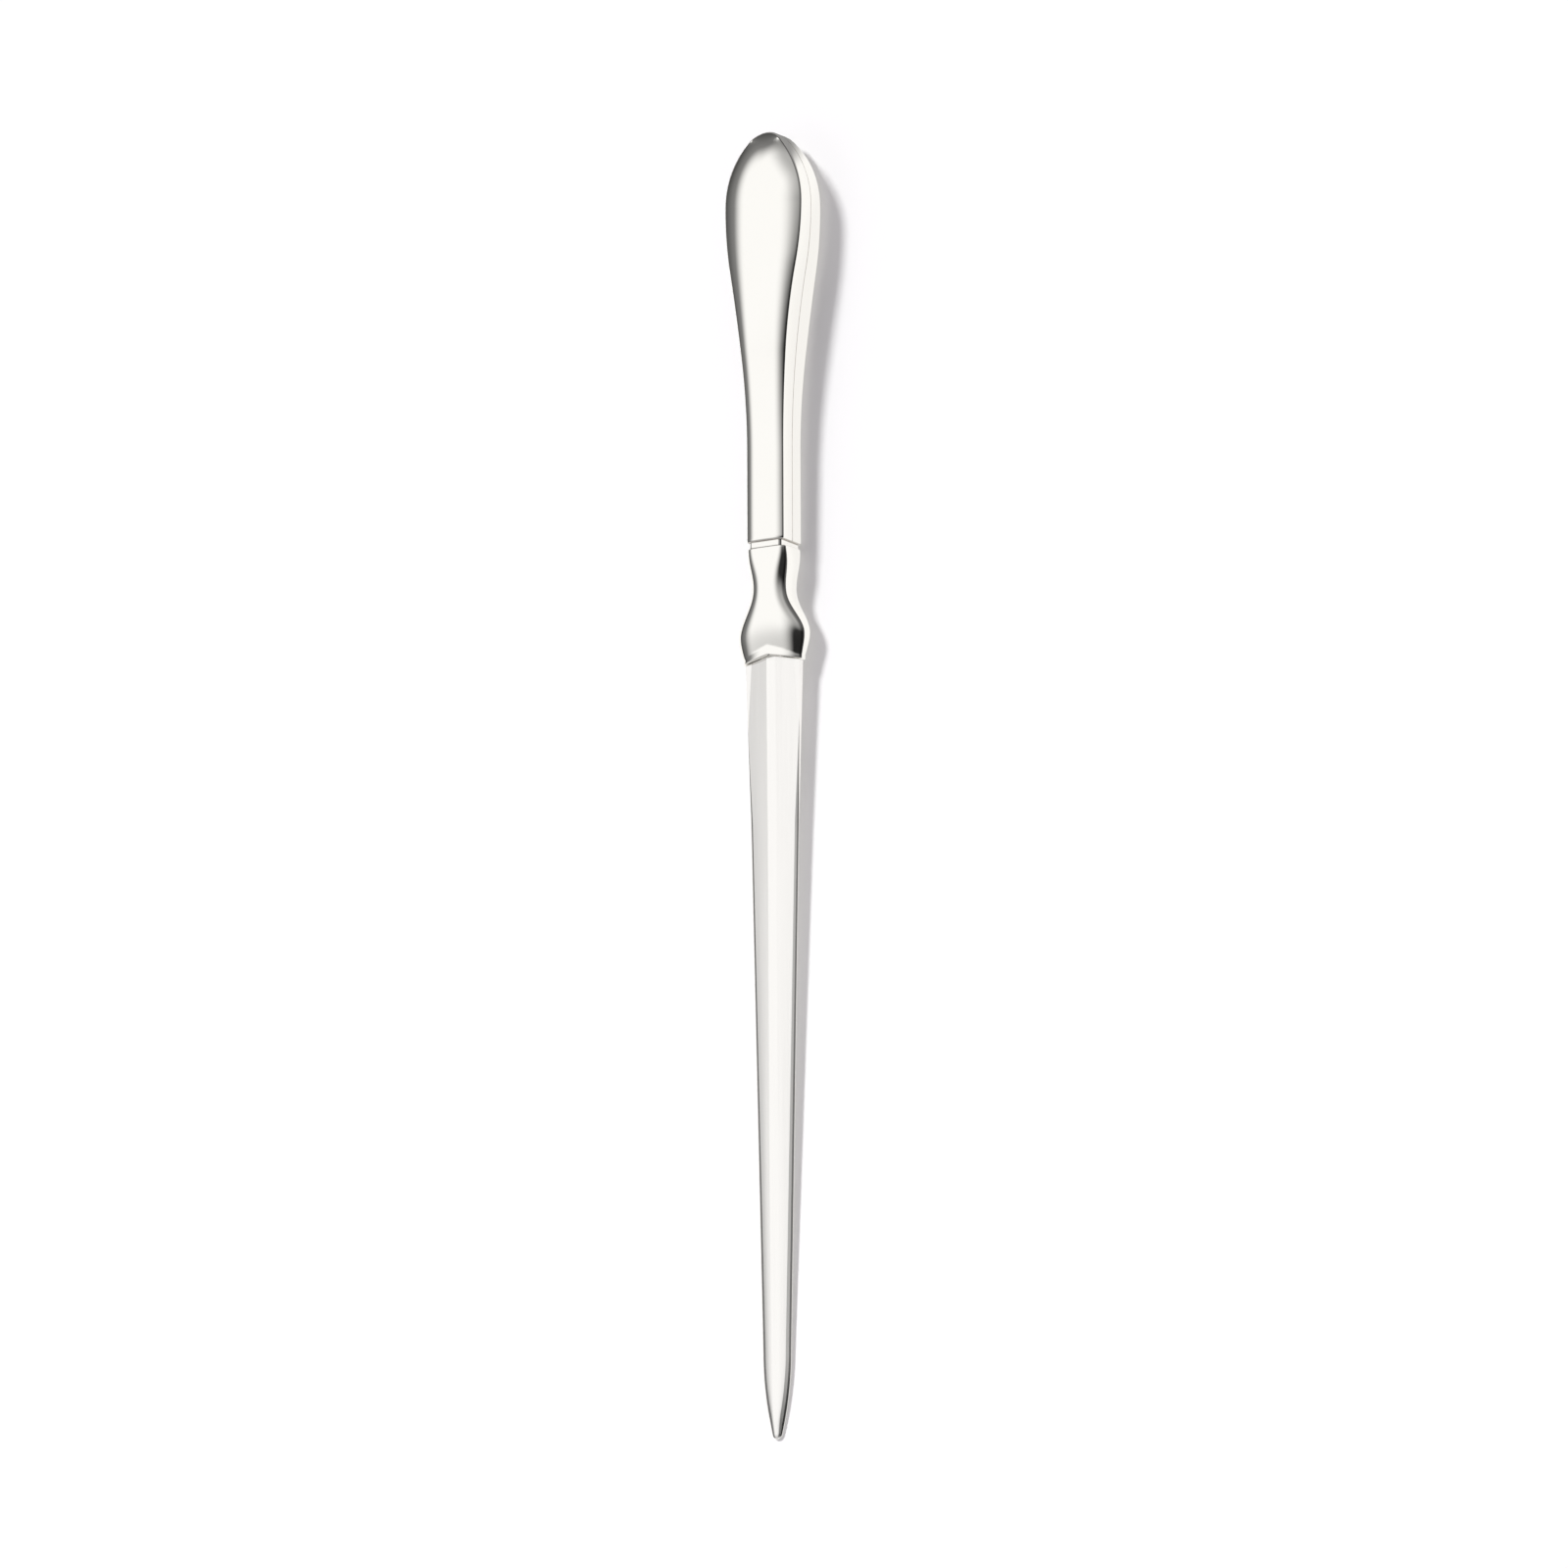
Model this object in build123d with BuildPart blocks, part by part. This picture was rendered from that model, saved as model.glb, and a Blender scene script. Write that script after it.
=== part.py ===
from build123d import *
import os
from math import hypot

# A letter opener with a hollow handle, lying on its back.
# X runs across the blade, Y along it towards the handle's end, and Z up, out of the front.
# The origin is under the middle of its length, on the surface that it lies on. Sizes are in millimetres.

# Handle, with places along it measured from its rounded end
handle_length = 72.1
handle_end_radius = 3.6
belly_from_end = 13.2
belly_half_width = 7.65
belly_radius = 60.0
waist_from_end = 56.0
waist_half_width = 3.7
rest_land_from_end = 11.0
rest_land_length = 11.0
rest_flat_depth = 0.06
belly_half_thickness = 4.85
mouth_half_thickness = 3.6
end_half_thickness = 2.2
face_crown_radius = 21.0
handle_rim_radius = 1.0
mouth_edge_radius = 0.3
shell_wall = 0.7

# Solder between the two halves of the handle
solder_thickness = 0.16
solder_recess = 0.1

# Collar that closes the handle's mouth
collar_flange_length = 1.0
collar_recess = 0.45
collar_plug_length = 6.0
collar_corner_radius = 0.8

# Bolster, with places along it measured from its top
bolster_length = 19.8
shank_from_top = 3.4
shank_half_width = 3.75
shank_half_thickness = 3.3
shank_corner_radius = 1.9
neck_from_top = 8.4
neck_half_width = 3.8
neck_half_thickness = 3.15
neck_corner_radius = 2.3
bulb_from_top = 14.6
bulb_half_width = 6.35
bulb_half_thickness = 2.95
bulb_corner_radius = 2.5
bulb_end_from_top = 17.8
bulb_end_half_width = 6.0
bulb_end_half_thickness = 2.55
bulb_end_corner_radius = 2.1
bolster_mouth_half_thickness = 2.1
bolster_mouth_corner_radius = 1.7
bolster_mouth_depth = 1.1
bolster_top_radius = 0.5
bolster_lip_radius = 0.3

# Blade, with its point measured from the tip
blade_length = 135.7
blade_half_width = 5.35
blade_half_thickness = 1.15
blade_edge_half_thickness = 0.6
ridge_half_width = 0.85
point_length = 15.2
point_half_width = 2.82
point_half_thickness = 0.8
point_edge_half_thickness = 0.35
tip_radius = 1.0

# Tang, and what holds it
tang_half_width = 2.0
tang_half_thickness = 0.95
tang_length = 60.0
braze_thickness = 0.12
fit_gap = 0.03

# Places along Y
overall_length = handle_length + collar_flange_length + bolster_length + blade_length
handle_end_y = overall_length / 2
handle_mouth_y = handle_end_y - handle_length
bolster_top_y = handle_mouth_y - collar_flange_length
bolster_mouth_y = bolster_top_y - bolster_length
blade_tip_y = bolster_mouth_y - blade_length
mouth_apex_y = bolster_mouth_y + bolster_mouth_depth
tang_end_y = mouth_apex_y + tang_length

# Further than any piece reaches across, for cuts that go right through
through = overall_length

# A face counts as facing a direction where its normal's share of that direction is over this
facing = 0.6

# Planes through the middle of the thickness, where the two halves of the handle meet.
# The crown of the back is flattened a little where the opener lies on it.
seam_height = belly_half_thickness - rest_flat_depth
seam_plane = Plane.XY.offset(seam_height)
side_plane = Plane(origin=(0, 0, seam_height), x_dir=(0, 1, 0), z_dir=(1, 0, 0))

os.makedirs("parts", exist_ok=True)


def cross_plane(y):
    """The plane across the opener at y, facing the tip, with its own y upwards."""
    return Plane(origin=(0, y, seam_height), x_dir=(1, 0, 0), z_dir=(0, -1, 0))


def nose_shoulder(half_width, length, nose_radius):
    """Where a round nose meets the arc that runs on to a given half width, as (across, back from the nose).

    The nose is an arc on the middle line. The next arc touches it there and is parallel to the middle
    line where it reaches the half width, one length back.
    """
    rise = length - nose_radius
    radius = (half_width**2 + rise**2 - nose_radius**2) / (2 * (half_width - nose_radius))
    share = radius / hypot(radius - half_width, rise)
    across = (half_width - radius) + (radius - half_width) * share
    back = length - rise * share
    return across, back


def handle_half(inset):
    """The front half of the handle as a full form, set in by inset all round and run out past the mouth."""
    shoulder_x, shoulder_back = nose_shoulder(belly_half_width, belly_from_end, handle_end_radius)
    drop = belly_half_width - waist_half_width
    run = waist_from_end - belly_from_end
    both_radii = (drop**2 + run**2) / (2 * drop)
    share = belly_radius / both_radii
    inflection = (belly_half_width - share * drop, handle_end_y - belly_from_end - share * run)
    shoulder = (shoulder_x, handle_end_y - shoulder_back)
    belly = (belly_half_width, handle_end_y - belly_from_end)
    waist = (waist_half_width, handle_end_y - waist_from_end)
    land_end_y = handle_end_y - rest_land_from_end
    land_start_y = land_end_y - rest_land_length
    land_height = belly_half_thickness - inset
    mouth_height = mouth_half_thickness - inset
    end_height = end_half_thickness - inset
    fall_middle = ((land_start_y + waist[1]) / 2, (land_height + mouth_height) / 2)
    crown_axis_height = belly_half_thickness - face_crown_radius
    run_out_y = handle_mouth_y - 2 * shell_wall

    with BuildPart() as form:
        with BuildSketch(seam_plane):
            with BuildLine():
                TangentArc((0, handle_end_y), shoulder, tangent=(1, 0))
                TangentArc(belly, shoulder, tangent=(0, 1))
                TangentArc(belly, inflection, tangent=(0, -1))
                TangentArc(waist, inflection, tangent=(0, 1))
                Polyline(waist, (waist_half_width, run_out_y), (0, run_out_y))
                mirror(about=Plane.YZ)
            make_face()
            if inset > 0:
                offset(amount=-inset, kind=Kind.INTERSECTION)
        extrude(amount=through)
        with BuildSketch(side_plane):
            with BuildLine():
                land = Line((land_start_y, land_height), (land_end_y, land_height))
                roll = TangentArc(land @ 1, (handle_end_y, end_height), tangent=(1, 0))
                TangentArc(land @ 0, fall_middle, tangent=(-1, 0))
                TangentArc((waist[1], mouth_height), fall_middle, tangent=(1, 0))
                Polyline((waist[1], mouth_height), (run_out_y, mouth_height), (run_out_y, crown_axis_height),
                         (handle_end_y, crown_axis_height), roll @ 1)
            make_face()
        crown_axis = Axis((0, 0, seam_height + crown_axis_height), (0, 1, 0))
        revolve(axis=crown_axis, mode=Mode.INTERSECT)
        crown = form.faces().filter_by(lambda face: face.normal_at().Z > facing)
        ends = form.faces().filter_by(lambda face: face.normal_at().Y < -facing)
        rim = form.faces() - crown - ends
        fillet(crown.edges() & rim.edges(), radius=handle_rim_radius - inset)
    return form.part


def tang_hole(from_y, to_y):
    """The space for the tang between two places along the opener, with room to slide it in."""
    with BuildPart() as hole:
        with BuildSketch(cross_plane(to_y)):
            Rectangle(2 * (tang_half_width + fit_gap), 2 * (tang_half_thickness + fit_gap))
        extrude(amount=to_y - from_y)
    return hole.part


outer_half = handle_half(0)
inner_half = handle_half(shell_wall)
core_half = handle_half(shell_wall + fit_gap)
mouth_plane = cross_plane(handle_mouth_y)
plug_end_y = handle_mouth_y + collar_plug_length

# Front half of the hollow handle
with BuildPart() as handle_front_shell:
    add(outer_half)
    split(bisect_by=mouth_plane, keep=Keep.BOTTOM)
    mouth_edges = handle_front_shell.faces().sort_by(Axis.Y)[0].edges()
    fillet(mouth_edges.sort_by(Axis.Z)[1:], radius=mouth_edge_radius)
    add(inner_half, mode=Mode.SUBTRACT)
    split(bisect_by=seam_plane.offset(solder_thickness / 2), keep=Keep.TOP)
handle_front_shell.part.label = "handle_front_shell"

# Back half of the hollow handle, the mirror image of the front with a flat to lie on
with BuildPart() as handle_back_shell:
    mirror(handle_front_shell.part, about=seam_plane)
    split(bisect_by=Plane.XY, keep=Keep.TOP)
handle_back_shell.part.label = "handle_back_shell"

# Solder between the rims of the two halves, a little below their surface
with BuildPart() as seam_solder:
    add(handle_half(solder_recess))
    add(inner_half, mode=Mode.SUBTRACT)
    split(bisect_by=mouth_plane, keep=Keep.BOTTOM)
    split(bisect_by=seam_plane.offset(solder_thickness / 2), keep=Keep.BOTTOM)
    mirror(about=seam_plane)
seam_solder.part.label = "seam_solder"

# Collar: a plug inside the handle's mouth, and a flange that shows as the bottom of the groove
with BuildPart() as collar:
    add(core_half)
    mirror(about=seam_plane)
    split(bisect_by=mouth_plane, keep=Keep.BOTTOM)
    split(bisect_by=cross_plane(plug_end_y), keep=Keep.TOP)
    with BuildSketch(mouth_plane):
        RectangleRounded(2 * (waist_half_width - collar_recess),
                         2 * (mouth_half_thickness - collar_recess), collar_corner_radius)
    extrude(amount=collar_flange_length)
    add(tang_hole(bolster_top_y, plug_end_y), mode=Mode.SUBTRACT)
collar.part.label = "collar"

# Cement that fills the handle and holds the tang
with BuildPart() as handle_core:
    add(core_half)
    mirror(about=seam_plane)
    split(bisect_by=cross_plane(plug_end_y + fit_gap), keep=Keep.BOTTOM)
    add(tang_hole(handle_mouth_y, tang_end_y + fit_gap), mode=Mode.SUBTRACT)
handle_core.part.label = "handle_core"

# Bolster: a casting that goes over from the handle's section to an oval neck, a bulb and a V mouth
bolster_sections = [
    (bolster_top_y, waist_half_width, mouth_half_thickness, handle_rim_radius),
    (bolster_top_y - shank_from_top, shank_half_width, shank_half_thickness, shank_corner_radius),
    (bolster_top_y - neck_from_top, neck_half_width, neck_half_thickness, neck_corner_radius),
    (bolster_top_y - bulb_from_top, bulb_half_width, bulb_half_thickness, bulb_corner_radius),
    (bolster_top_y - bulb_end_from_top, bulb_end_half_width, bulb_end_half_thickness, bulb_end_corner_radius),
    (bolster_mouth_y, blade_half_width, bolster_mouth_half_thickness, bolster_mouth_corner_radius),
]
with BuildPart() as bolster:
    for section_y, half_width, half_thickness, corner_radius in bolster_sections:
        with BuildSketch(cross_plane(section_y)):
            RectangleRounded(2 * half_width, 2 * half_thickness, corner_radius)
    loft()
    with BuildSketch(seam_plane):
        with BuildLine():
            Polyline((-blade_half_width, bolster_mouth_y), (0, mouth_apex_y),
                     (blade_half_width, bolster_mouth_y), close=True)
        make_face()
    extrude(amount=through, both=True, mode=Mode.SUBTRACT)
    fillet(bolster.faces().sort_by(Axis.Y)[-1].edges(), radius=bolster_top_radius)
    lip_faces = bolster.faces().filter_by(lambda face: face.normal_at().Y < -facing)
    fillet(lip_faces.edges().filter_by(Axis.Z, reverse=True), radius=bolster_lip_radius)
    add(tang_hole(bolster_mouth_y, bolster_top_y), mode=Mode.SUBTRACT)
bolster.part.label = "bolster"


def blade_section(y):
    """Corners of the blade's section at y: a flat ridge, sloping faces and blunt edges, on both sides."""
    share = (bolster_mouth_y - y) / (blade_length - point_length)
    half_width = blade_half_width + share * (point_half_width - blade_half_width)
    ridge = blade_half_thickness + share * (point_half_thickness - blade_half_thickness)
    edge = blade_edge_half_thickness + share * (point_edge_half_thickness - blade_edge_half_thickness)
    quarter = [(ridge_half_width, ridge), (half_width, edge)]
    right = quarter + [(x, -z) for x, z in reversed(quarter)]
    return right + [(-x, z) for x, z in reversed(right)]


def blade_blank(shoulder_shift):
    """The blade without its tang, its V shoulders shifted along from the bolster's mouth."""
    tip_shoulder_x, tip_shoulder_back = nose_shoulder(point_half_width, point_length, tip_radius)
    tip_shoulder = (tip_shoulder_x, blade_tip_y + tip_shoulder_back)
    point_start = (point_half_width, blade_tip_y + point_length)
    shoulder = (blade_half_width, bolster_mouth_y - shoulder_shift)
    apex = (0, mouth_apex_y - shoulder_shift)

    with BuildPart() as blank:
        with BuildSketch(cross_plane(mouth_apex_y)):
            Polygon(*blade_section(mouth_apex_y), align=None)
        with BuildSketch(cross_plane(blade_tip_y)):
            Polygon(*blade_section(blade_tip_y), align=None)
        loft(ruled=True)
        with BuildSketch(seam_plane):
            with BuildLine():
                TangentArc((0, blade_tip_y), tip_shoulder, tangent=(1, 0))
                TangentArc(point_start, tip_shoulder, tangent=(0, -1))
                Polyline(point_start, shoulder, apex)
                mirror(about=Plane.YZ)
            make_face()
        extrude(amount=through, both=True, mode=Mode.INTERSECT)
    return blank.part


# Blade with its stick tang
braze_side = blade_blank(0)
blade_side = blade_blank(braze_thickness)
with BuildPart() as blade:
    add(blade_side)
    with BuildSketch(cross_plane(tang_end_y)):
        Rectangle(2 * tang_half_width, 2 * tang_half_thickness)
    extrude(amount=tang_length + bolster_mouth_depth)
blade.part.label = "blade"

# Brazing metal between the blade's shoulders and the bolster's mouth
with BuildPart() as blade_braze:
    add(braze_side)
    add(blade_side, mode=Mode.SUBTRACT)
    add(tang_hole(bolster_mouth_y, mouth_apex_y), mode=Mode.SUBTRACT)
blade_braze.part.label = "blade_braze"

pieces = [blade, bolster, blade_braze, collar]
pieces += [handle_front_shell, handle_back_shell, seam_solder, handle_core]
for piece in pieces:
    export_step(piece.part, f"parts/{piece.part.label}.step")
    print(piece.part.label, round(piece.part.volume, 2), piece.part.bounding_box())
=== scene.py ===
# %% [markdown]
# A letter opener with a hollow polished handle, a cast bolster and a satin blade.
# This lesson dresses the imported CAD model: the pieces that catch the light are modelled again with
# smooth meshes, and every piece gets a finish of its own. First comes the frame, the CAD model itself.
# It stays where it is, and all sizes here are metres in its space.

# %% Load the frame
import bpy
from math import asin, atan2, cos, hypot, pi, radians, sin, tan
from mathutils import Matrix, Vector


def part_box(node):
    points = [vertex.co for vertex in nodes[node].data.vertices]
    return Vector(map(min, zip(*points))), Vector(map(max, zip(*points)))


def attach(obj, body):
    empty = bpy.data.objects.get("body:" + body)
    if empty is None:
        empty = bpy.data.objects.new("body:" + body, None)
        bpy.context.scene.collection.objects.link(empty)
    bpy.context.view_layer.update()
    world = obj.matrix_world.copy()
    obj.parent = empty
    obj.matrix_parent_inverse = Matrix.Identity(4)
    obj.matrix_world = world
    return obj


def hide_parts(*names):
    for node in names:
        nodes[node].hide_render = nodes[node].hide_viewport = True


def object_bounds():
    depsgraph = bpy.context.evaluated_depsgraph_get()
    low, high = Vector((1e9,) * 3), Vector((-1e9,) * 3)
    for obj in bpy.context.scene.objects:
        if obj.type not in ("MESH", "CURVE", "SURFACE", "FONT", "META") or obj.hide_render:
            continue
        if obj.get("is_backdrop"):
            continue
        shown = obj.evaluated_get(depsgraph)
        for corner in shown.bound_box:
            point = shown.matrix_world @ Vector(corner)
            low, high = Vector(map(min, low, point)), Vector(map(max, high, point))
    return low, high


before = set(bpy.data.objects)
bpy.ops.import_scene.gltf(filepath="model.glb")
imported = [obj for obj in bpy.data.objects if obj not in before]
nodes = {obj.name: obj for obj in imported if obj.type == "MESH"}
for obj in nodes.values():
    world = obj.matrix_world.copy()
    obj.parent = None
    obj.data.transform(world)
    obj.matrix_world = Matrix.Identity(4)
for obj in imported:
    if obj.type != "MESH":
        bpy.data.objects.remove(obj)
cad_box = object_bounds()
print("CAD nodes:", sorted(nodes))
print("CAD box, mm:", [round(1000 * (high - low), 2) for low, high in zip(*cad_box)])

# %% [markdown]
# The opener lies along Y with its point at -Y. Its middle plane, halfway through the thickness, is where
# the two halves of the handle are soldered together. All heights below are measured from that plane, so
# the places come first, read from the CAD nodes' own boxes.

# %% Places along the opener
mm = 0.001

front_low, front_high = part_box("handle_front_shell")
_, back_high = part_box("handle_back_shell")
_, bolster_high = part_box("bolster")
blade_low, blade_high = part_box("blade")

seam_height = (front_low.z + back_high.z) / 2
seam_gap = front_low.z - back_high.z
handle_end = front_high.y
handle_mouth = front_low.y
belly_half_width = front_high.x
belly_half_thickness = front_high.z - seam_height
bolster_top = bolster_high.y
blade_tip = blade_low.y
blade_half_width = blade_high.x
print("seam height", round(seam_height / mm, 2), "mm, gap", round(seam_gap / mm, 2), "mm")

# %% [markdown]
# The handle's outline, seen from the front, is a chain of arcs: a round nose, a shoulder, the belly, and a
# long hollow curve that runs into the straight neck. An arc that touches the next one needs only its
# centre, its radius and two angles, so the outline is worked out from a few sizes and not traced.

# %% Handle outline
nose_radius = 3.6 * mm
belly_place = handle_end - 13.2 * mm
belly_radius = 60 * mm
waist_place = handle_end - 56 * mm
waist_half_width = 3.7 * mm

rise = handle_end - nose_radius - belly_place
shoulder_radius = belly_half_width**2 + rise**2 - nose_radius**2
shoulder_radius /= 2 * (belly_half_width - nose_radius)
shoulder_turn = atan2(rise, shoulder_radius - belly_half_width)
drop = belly_half_width - waist_half_width
run = belly_place - waist_place
waist_radius = (drop**2 + run**2) / (2 * drop) - belly_radius
belly_turn = asin(run / (belly_radius + waist_radius))


def arc(centre_x, centre_y, radius, start, end, steps):
    """Points of an arc in the plan, without its first one."""
    turns = [start + (end - start) * step / steps for step in range(1, steps + 1)]
    return [(centre_x + radius * cos(turn), centre_y + radius * sin(turn)) for turn in turns]


nose_arc_steps = 24
shoulder_steps = 44
belly_steps = 24
waist_steps = 56
neck_steps = 24

nose_centre = handle_end - nose_radius
outline = [(0.0, handle_end)]
outline += arc(0, nose_centre, nose_radius, pi / 2, shoulder_turn, nose_arc_steps)
outline += arc(belly_half_width - shoulder_radius, belly_place, shoulder_radius,
               shoulder_turn, 0, shoulder_steps)
nose_steps = len(outline) - 1
outline += arc(belly_half_width - belly_radius, belly_place, belly_radius,
               0, -belly_turn, belly_steps)
outline += arc(waist_half_width + waist_radius, waist_place, waist_radius,
               pi - belly_turn, pi, waist_steps)
outline += [(waist_half_width, waist_place + (handle_mouth - waist_place) * step / neck_steps)
            for step in range(1, neck_steps + 1)]
print("outline of", len(outline), "points, shoulder arc of", round(shoulder_radius / mm, 2), "mm")

# %% [markdown]
# The face of the handle is not flat. Along the middle it is thickest at the belly, falls in a slow S to
# the neck and dives ever faster towards the end. Across, it is nearly flat in the middle and rolls down to
# the rim, like a cushion, and the roll starts a little further in at the belly than lower down. The roll
# draws the soft dark bands along both edges of the polished metal, and the dive draws the crescent at the
# end. A displaced or sculpted grid could give such a face, but a height for each place is exact. Where the
# face already dives it needs less roll to reach the same slope at the rim, so the two slopes are combined
# as the sides of a right-angled triangle.

# %% Handle face
land_start = handle_end - 22 * mm
neck_half_thickness = 3.6 * mm
rim_slope = 0.56
belly_power = 2.6
leg_power = 3.0
leg_start = belly_place - 25 * mm
end_slope = 0.72
end_fall = 3.1 * mm
end_reach = handle_end - belly_place
end_power = end_slope * end_reach / end_fall


def spine_height(y):
    """Height of the face over the seam along its middle line."""
    share = min(max((land_start - y) / (land_start - waist_place), 0.0), 1.0)
    fall = 2 * share**2 if share < 0.5 else 1 - 2 * (1 - share) ** 2
    return belly_half_thickness - fall * (belly_half_thickness - neck_half_thickness)


def nose_half_width(y):
    """Half width of the outline between the belly and the handle's end."""
    from_centre = y - nose_centre
    if from_centre > nose_radius * sin(shoulder_turn):
        return max(nose_radius**2 - from_centre**2, 0.0) ** 0.5
    return belly_half_width - shoulder_radius + (shoulder_radius**2 - (y - belly_place) ** 2) ** 0.5


def face_height(x, y, half_width):
    """Height of the face over the seam: its middle line, less the dive and the roll."""
    to_end = max(y - belly_place, 0.0) / end_reach
    dive = end_slope * to_end ** (end_power - 1)
    roll = max(rim_slope**2 - dive**2, 0.0) ** 0.5
    across = min(abs(x) / half_width, 1.0) if half_width > 0 else 0.0
    leg_share = min(max(belly_place - y, 0.0) / (belly_place - leg_start), 1.0)
    side_power = belly_power + leg_share * (leg_power - belly_power)
    side_fall = roll * half_width / side_power
    return spine_height(y) - end_fall * to_end**end_power - side_fall * across**side_power


rim_height = face_height(belly_half_width, belly_place, belly_half_width)
end_height = face_height(0, handle_end, 0)
print("face over the seam, mm:", round(rim_height / mm, 2), "at the belly's rim,",
      round(end_height / mm, 2), "at the end")

# %% [markdown]
# A hollow handle is made of two shells, each stamped from a flat blank between a punch and a die.
# Extruding and scaling rings would give a tube with an even roundness, but this shell has a crowned face,
# a crisp corner and an upright wall, so it is made the way the real one is: a flat grid is the blank, and
# a function presses each of its points into place. Half of it is enough, since a mirror makes the rest.

# %% Press the front shell
roof_cells = 30
rim_cells = 12
wall_cells = 6
side_rim_radius = 0.3 * mm
end_rim_radius = 0.3 * mm
shell_wall = 0.7 * mm
wall_foot = seam_gap / 2


def blank(name, along, across):
    """A flat grid of cells, as a sheet of metal before it is pressed."""
    bpy.ops.object.select_all(action="DESELECT")
    bpy.ops.mesh.primitive_grid_add(x_subdivisions=along, y_subdivisions=across, size=1)
    piece = bpy.context.object
    piece.name = piece.data.name = name
    return piece


def press(piece, along, across, place):
    """Moves each point of a blank to its place, by its column along and its row across."""
    for point in piece.data.vertices:
        column = round((point.co.x + 0.5) * along)
        row = round((point.co.y + 0.5) * across)
        point.co = place(column, row)


def shell_place(column, row):
    """Place of a point of the front shell: on the face, round the rim or down the wall."""
    edge_x, edge_y = outline[column]
    middle_y = max(min(edge_y, belly_place), handle_mouth)
    reach = hypot(edge_x, edge_y - middle_y)
    end_share = max(edge_y - belly_place, 0.0) / reach
    rim_radius = side_rim_radius + (end_rim_radius - side_rim_radius) * end_share
    turn = min(max(row - roof_cells, 0) / rim_cells, 1.0) * pi / 2
    share = 1 - rim_radius / reach * (1 - sin(turn))
    if row < roof_cells:
        share = share * row / roof_cells
    x, y = edge_x * share, middle_y + (edge_y - middle_y) * share
    half_width = edge_x if column >= nose_steps else nose_half_width(y)
    height = face_height(x, y, half_width) - rim_radius * (1 - cos(turn))
    down_wall = max(row - roof_cells - rim_cells, 0) / wall_cells
    return Vector((x, y, seam_height + height + (wall_foot - height) * down_wall))


shell_columns = len(outline) - 1
shell_rows = roof_cells + rim_cells + wall_cells
front_shell = blank("front_shell", shell_columns, shell_rows)
press(front_shell, shell_columns, shell_rows, shell_place)
print("pressed", len(front_shell.data.vertices), "points")

# %% [markdown]
# Most tools of edit mode work on what is selected, and modifiers work on the active object. A few helpers
# do that book-keeping, so that the steps below name only the tool and its settings.

# %% Mesh helpers
merge_reach = 0.001 * mm


def edit(piece, *operators):
    """Runs edit mode operators on a piece with its selection as it stands."""
    bpy.ops.object.select_all(action="DESELECT")
    bpy.context.view_layer.objects.active = piece
    piece.select_set(True)
    bpy.ops.object.mode_set(mode="EDIT")
    for operator, settings in operators:
        operator(**settings)
    bpy.ops.object.mode_set(mode="OBJECT")


def select(piece, mode, chosen):
    """Selects the points, edges or faces of a piece for which chosen is true."""
    bpy.context.tool_settings.mesh_select_mode = (mode == "VERT", mode == "EDGE", mode == "FACE")
    mesh = piece.data
    for group in (mesh.vertices, mesh.edges, mesh.polygons):
        group.foreach_set("select", [False] * len(group))
    for item in {"VERT": mesh.vertices, "EDGE": mesh.edges, "FACE": mesh.polygons}[mode]:
        item.select = bool(chosen(item))
        if item.select and mode != "VERT":
            for corner in item.vertices:
                mesh.vertices[corner].select = True
    for item in [*mesh.edges, *mesh.polygons] if mode == "VERT" else []:
        item.select = all(mesh.vertices[corner].select for corner in item.vertices)


def close_up(piece):
    """Merges points that lie on each other and turns all faces outwards."""
    select(piece, "VERT", lambda point: True)
    edit(piece, (bpy.ops.mesh.remove_doubles, {"threshold": merge_reach}),
         (bpy.ops.mesh.normals_make_consistent, {"inside": False}))


def apply_modifier(piece, kind, **settings):
    """Adds a modifier with its settings and applies it."""
    bpy.ops.object.select_all(action="DESELECT")
    bpy.context.view_layer.objects.active = piece
    piece.select_set(True)
    modifier = piece.modifiers.new(kind.title(), kind)
    for name, value in settings.items():
        setattr(modifier, name, value)
    bpy.ops.object.modifier_apply(modifier=modifier.name)


print("points closer than", merge_reach / mm, "mm are merged")

# %% [markdown]
# Round the nose all lines of the grid meet in one point on the middle line. Merging closes that fan. Then
# a Mirror modifier makes the left half, Solidify gives the sheet its wall inwards, and the outer edge of
# the mouth is rounded with a bevel, as a polisher breaks it.

# %% Finish the front shell
mouth_edge = 0.3 * mm
mouth_segments = 4

apply_modifier(front_shell, "MIRROR", use_axis=(True, False, False), merge_threshold=merge_reach)
close_up(front_shell)
outer_points = len(front_shell.data.vertices)
apply_modifier(front_shell, "SOLIDIFY", thickness=shell_wall, offset=-1, use_even_offset=True)

points = front_shell.data.vertices
select(front_shell, "EDGE", lambda edge: all(
    i < outer_points and abs(points[i].co.y - handle_mouth) < merge_reach for i in edge.vertices))
edit(front_shell, (bpy.ops.mesh.bevel, {"offset": mouth_edge, "segments": mouth_segments,
                                        "affect": "EDGES"}))
print("front shell:", len(front_shell.data.polygons), "faces")

# %% [markdown]
# The back shell comes from the same die, so it is a copy, turned over by mirroring its heights in the seam
# plane. The opener lies on its crown, which is worn flat there: a bisect at the table's height cuts the
# crown off and fills the cut.

# %% Turn over the back shell
def copy_of(piece, name):
    """A copy of a piece with its own mesh."""
    twin = piece.copy()
    twin.data = piece.data.copy()
    twin.name = twin.data.name = name
    bpy.context.collection.objects.link(twin)
    return twin


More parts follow.
